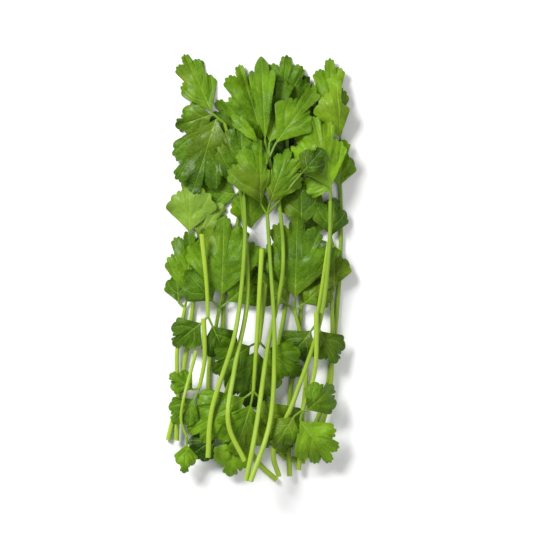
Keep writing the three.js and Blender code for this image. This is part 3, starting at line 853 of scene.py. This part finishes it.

# Each sprig's stalk from the cut end up, and its leaflets: joint along the stalk, base, tip, spread right,
# spread left, lobes a side, and tone from deep 0 to bright 1, with more for a leaflet that shows its pale
# underside. Millimetres and degrees, seen from above. The deepest tones are partly the leaves' own dark
# green and partly painted shade for leaflets in the heap's shadowed gaps, and some tones are raised as
# painted light against shadows that fall on a leaflet.
sprigs = {
    # sprig_01 lies lowest: its deep tones are painted shade, dark green standing for the shadowed gaps
    # under the top leaves
    "sprig_01": {
        "seed": 1,
        "stalk": [(25, -90), (15, -88), (7, -71), (13, -24), (19, 22), (20, 56)],
        "leaflets": [
            (1, (23, 68), (18, 90), 38, 38, 1, 0.10),
            (1, (20, 59), (35, 68), 44, 44, 1, 0.12),
            (1, (15, 55), (0, 76), 46, 46, 1, 0.18),
            (0.93, (14, 45), (4, 58), 46, 46, 1, 0.12),
        ],
    },
    "sprig_02": {
        "seed": 2,
        "stalk": [(12, -99), (3, -91), (-10, -67), (-15, -16), (-8, 29), (-3, 54)],
        "leaflets": [
            (0.9, (-11, 33), (-31, 37), 46, 56, 1, 0.50),
            (0.8, (-3, 18), (-6, 39), 40, 40, 1, 0.78),
            (1, (-4, 55), (-21, 77), 42, 42, 2, 0.42),
            (1, (1, 59), (-11, 94), 16, 36, 2, 0.60),
        ],
    },
    "sprig_03": {
        "seed": 3,
        "stalk": [(18, -97), (17, -83), (17, -61), (21, -15), (15, 32), (12, 60)],
        "leaflets": [
            (1, (8, 67), (11, 99), 40, 42, 2, 0.48),
            (1, (15, 63), (29, 79), 40, 40, 1, 0.30),
        ],
    },
    "sprig_04": {
        "seed": 4,
        "stalk": [(24, -85), (33, -61), (38, -14), (38, 32), (35, 57)],
        "leaflets": [
            # this leaflet's tone is raised as painted light, making up for the shadow that the leaves above
            # cast on it
            (0.84, (37, 38), (39, 60), 28, 42, 1, 0.80),
            (1, (32, 59), (20, 73), 44, 44, 1, 0.25),
            (1, (33, 64), (31, 98), 26, 34, 2, 0.74),
            (1, (37, 60), (34, 90), 8, 34, 1, 0.92),
        ],
    },
    "sprig_05": {
        "seed": 5,
        "stalk": [(30, -80), (35, -61), (36, -33), (35, -10), (35, 11)],
        "leaflets": [
            (0.74, (36, -9), (36, 10), 36, 44, 1, 0.55),
            (1, (27, 14), (23, 35), 42, 44, 1, 0.48),
            (0.9, (20, 19), (19, 42), 44, 44, 1, 0.36),
            (1, (34, 15), (35, 33), 38, 46, 1, 0.42),
        ],
    },
    "sprig_06": {
        "seed": 6,
        "stalk": [(-39, -82), (-34, -57), (-31, -35), (-29, -12), (-31, 9)],
        "leaflets": [
            (1, (-28, 12), (-17, 29), 46, 44, 1, 1.40),
            (1, (-32, 15), (-33, 41), 44, 36, 1, 1.45),
        ],
    },
    "sprig_07": {
        "seed": 7,
        "stalk": [(-35, -82), (-35, -61), (-36, -40), (-33, -20)],
        "leaflets": [
            (1, (-36, -18), (-38, -2), 38, 34, 1, 0.45),
            (1, (-32, -15), (-32, 16), 46, 36, 2, 0.60),
        ],
    },
    "sprig_08": {
        "seed": 8,
        "stalk": [(-20, -89), (-20, -73), (-21, -49), (-17, -20)],
        "leaflets": [
            (1, (-20, -17), (-33, -3), 46, 40, 1, 0.40),
            (1, (-13, -17), (3, -1), 44, 46, 1, 0.55),
            (1, (-16, -14), (-16, 23), 46, 46, 2, 0.62),
        ],
    },
    "sprig_09": {
        "seed": 9,
        "stalk": [(22, -94), (23, -71), (24, -43), (18, -20)],
        "leaflets": [
            (1, (22, -17), (34, -5), 44, 44, 1, 0.42),
            (1, (14, -17), (-1, -3), 44, 44, 1, 0.30),
            (1, (18, -14), (18, 24), 46, 46, 2, 0.45),
        ],
    },
    "sprig_10": {
        "seed": 21,
        "stalk": [(33, 12), (30, -12), (28, -26)],
        "leaflets": [
            (1, (30, -29), (38, -44), 42, 44, 1, 0.30),
            (1, (26, -29), (15, -44), 44, 42, 1, 0.22),
        ],
    },
    "sprig_11": {
        "seed": 22,
        "stalk": [(-26, 14), (-23, -10), (-22, -24)],
        "leaflets": [
            (1, (-25, -27), (-38, -38), 44, 42, 1, 0.40),
            (1, (-20, -28), (-12, -45), 42, 44, 1, 0.30),
        ],
    },
    "sprig_12": {
        "seed": 10,
        "stalk": [(4, -8), (3, -24), (2, -35)],
        "leaflets": [
            (1, (5, -38), (22, -50), 42, 46, 1, 0.55),
            (1, (-2, -37), (-19, -50), 46, 42, 1, 0.50),
            (1, (1, -39), (-3, -66), 46, 44, 1, 0.30),
        ],
    },
    "sprig_13": {
        "seed": 13,
        "stalk": [(-9, -50), (-14, -64), (-14, -77)],
        "leaflets": [
            # a dark crinkled leaflet, its tone taken down further as painted shade
            (1, (-17, -80), (-30, -90), 42, 42, 1, 0.08),
            (1, (-8, -80), (-10, -98), 50, 52, 1, 0.92),
        ],
    },
    "sprig_14": {
        "seed": 11,
        "stalk": [(2, 8), (1, -29), (0, -58)],
        "leaflets": [
            (1, (4, -62), (16, -86), 46, 48, 1, 0.72),
            (1, (-4, -61), (-30, -78), 42, 42, 2, 0.74),
            (1, (-1, -64), (-8, -88), 44, 44, 1, 0.62),
        ],
    },
    "sprig_15": {
        "seed": 14,
        "stalk": [(-24, -25), (-23, -44), (-25, -57)],
        "leaflets": [
            (1, (-28, -58), (-39, -51), 44, 42, 1, 0.62),
            (1, (-27, -62), (-37, -74), 44, 44, 1, 0.52),
        ],
    },
    "sprig_16": {
        "seed": 15,
        "thick": 0.7,
        "stalk": [(-27, -40), (-33, -72), (-30, -80)],
        "leaflets": [
            (1, (-30, -83), (-31, -97), 32, 34, 1, 0.85),
        ],
    },
    "sprig_17": {
        "seed": 17,
        "stalk": [(-3, -90), (-11, -73), (-9, -48), (-4, -15), (-8, 30), (-12, 50), (-17, 66)],
        "leaflets": [
            (1, (-23, 70), (-40, 64), 44, 46, 1, 0.50),
            (1, (-23, 71), (-37, 98), 30, 32, 2, 0.55),
            (1, (-21, 68), (-31, 33), 42, 44, 2, 0.30),
        ],
    },
    "sprig_18": {
        "seed": 16,
        "stalk": [(-20, -89), (-19, -68), (-9, -30), (-6, 14), (-7, 32)],
        "leaflets": [
            (1, (-7, 35), (-10, 69), 42, 36, 2, 0.38),
        ],
    },
    "sprig_19": {
        "seed": 18,
        "stalk": [(13, -97), (10, -86), (19, -61), (30, -24), (33, 9), (33, 31)],
        "leaflets": [
            (1, (33, 36), (20, 41), 40, 40, 1, 0.75),
            (1, (33, 37), (24, 70), 34, 46, 2, 0.86),
        ],
    },
    "sprig_20": {
        "seed": 12,
        "stalk": [(28, -20), (28, -48), (23, -66)],
        "leaflets": [
            (1, (25, -66), (37, -54), 46, 46, 1, 0.60),
            (1, (19, -69), (10, -84), 44, 42, 1, 0.50),
            (1, (22, -71), (37, -90), 46, 48, 2, 0.92),
        ],
    },
    "sprig_21": {
        "seed": 19,
        "stalk": [(-2, -99), (2, -73), (6, -38), (12, -1), (9, 31), (4, 50)],
        "leaflets": [
            (1, (-1, 57), (-14, 70), 22, 20, 0, 0.72),
            (1, (4, 57), (11, 87), 34, 30, 1, 0.52),
            (1, (7, 57), (25, 83), 26, 28, 1, 0.62),
            (1, (2, 58), (-1, 98), 15, 15, 0, 0.62),
        ],
    },
    "sprig_22": {
        "seed": 20,
        "stalk": [(0, -99), (8, -72), (9, -34), (6, 3), (4, 24)],
        "leaflets": [
            (1, (1, 29), (-1, 59), 20, 54, 2, 0.55),
            (1, (5, 29), (13, 55), 42, 26, 2, 0.60),
            (1, (19, 43), (29, 55), 38, 38, 1, 0.15),
        ],
    },
}


def growLeaflet(growth, solid, leaving, leaflet, seed):  # with its side stalk
    base, tip = [Vector(corner) for corner in leaflet[:2]]
    root = (tip - base).normalized() * stalkShape["rootOverlap"]
    route = evenly(smoothRoute([leaving.to_2d(), base, base + root]), stalkShape["step"])
    first = stalkShape["sideRadius"]
    radii = tapered(first, first * stalkShape["sideTaper"], len(route))
    centres = restStalk(solid, route, radii, leaving.z)
    foot = addLeaflet(growth, solid, leaflet, seed)
    rise = foot - stalkShape["sink"] * radii[-1] - centres[-1].z
    drop = leaving.z - centres[0].z
    for centre, lift in zip(centres, tapered(drop, rise, len(centres))):
        centre.z += lift
    addStalk(growth, centres, radii, False)


def growSprig(node, sprig):
    solid = Solid(node)
    growth = Growth()
    thick = sprig.get("thick", 1)
    route = evenly(smoothRoute(sprig["stalk"]), stalkShape["step"])
    radii = tapered(stalkShape["cutRadius"] * thick, stalkShape["topRadius"] * thick, len(route))
    centres = restStalk(solid, route, radii)
    addStalk(growth, centres, radii, True)
    for k, (joint, *leaflet) in enumerate(sprig["leaflets"]):
        leaving = centres[round(joint * (len(centres) - 1))]
        growLeaflet(growth, solid, leaving, leaflet, sprig["seed"] * leafShape["seedStep"] + k)
    piece = growth.finish("fine_" + node, finishes)
    for sheet in growth.sheets:
        heap.lay(sheet)
    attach(piece, "root")
    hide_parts(node)
    return piece


faceCount = 0
for node, sprig in sprigs.items():
    piece = growSprig(node, sprig)
    faceCount += sum(len(p.vertices) - 2 for p in piece.data.polygons)
print("sprigs grown, triangles:", faceCount)

studio = {  # metres
    "floorSize": 6,
    "floorHeight": -0.0002,
    "floorGreys": ((0.86, 0.86, 0.86, 1), (0.90, 0.90, 0.90, 1)),
    "floorScale": 3,  # patterns a metre
    "floorRoughness": 0.6,
    "sky": 0.36,
    "lamps": [  # place, size, watts
        ((-0.60, 0.55, 0.75), 0.4, 17.0),
        ((0.55, -0.25, 1.0), 0.9, 4.5),
    ],
}

bpy.ops.object.select_all(action="DESELECT")
bpy.ops.mesh.primitive_plane_add(size=studio["floorSize"], location=(0, 0, studio["floorHeight"]))
floor = bpy.context.object
floor.name = "studio_floor"
f = Finish("paleFloor")
floor.data.materials.append(f.finish({
    "Base Color": f.blend(f.noise(f.place(), studio["floorScale"]), *studio["floorGreys"]),
    "Roughness": studio["floorRoughness"],
}))

world = bpy.data.worlds.new("studioSky")
bpy.context.scene.world = world
world.use_nodes = True
sky = world.node_tree.nodes["Background"]
sky.inputs["Color"].default_value = (1, 1, 1, 1)
sky.inputs["Strength"].default_value = studio["sky"]
for place, size, watts in studio["lamps"]:
    lamp = bpy.data.lights.new("softLamp", "AREA")
    lamp.size = size
    lamp.energy = watts
    holder = bpy.data.objects.new("softLamp", lamp)
    holder.location = place
    holder.rotation_euler = (-Vector(place)).to_track_quat("-Z", "Y").to_euler()
    bpy.context.collection.objects.link(holder)

view = {
    "target": (0.0036, 0.0004, 0.008),  # metres
    "distance": 1.6,
    "elevation": 89,  # degrees above the surface, from the cut ends' side
    "roll": 1.68,
    "widthSeen": 0.2470,  # metres across the frame at the target
    "sensorWidth": 36,
}

camera = bpy.data.cameras.new("viewCamera")
camera.sensor_width = view["sensorWidth"]
camera.lens = view["sensorWidth"] * view["distance"] / view["widthSeen"]
holder = bpy.data.objects.new("viewCamera", camera)
bpy.context.collection.objects.link(holder)
tilt = Matrix.Rotation(math.radians(90 - view["elevation"]), 4, "X")
holder.matrix_world = (Matrix.Translation(Vector(view["target"])) @ tilt
                       @ Matrix.Translation((0, 0, view["distance"]))
                       @ Matrix.Rotation(math.radians(view["roll"]), 4, "Z"))
bpy.context.scene.camera = holder
bpy.context.scene.view_settings.view_transform = "Standard"
print("stage set")
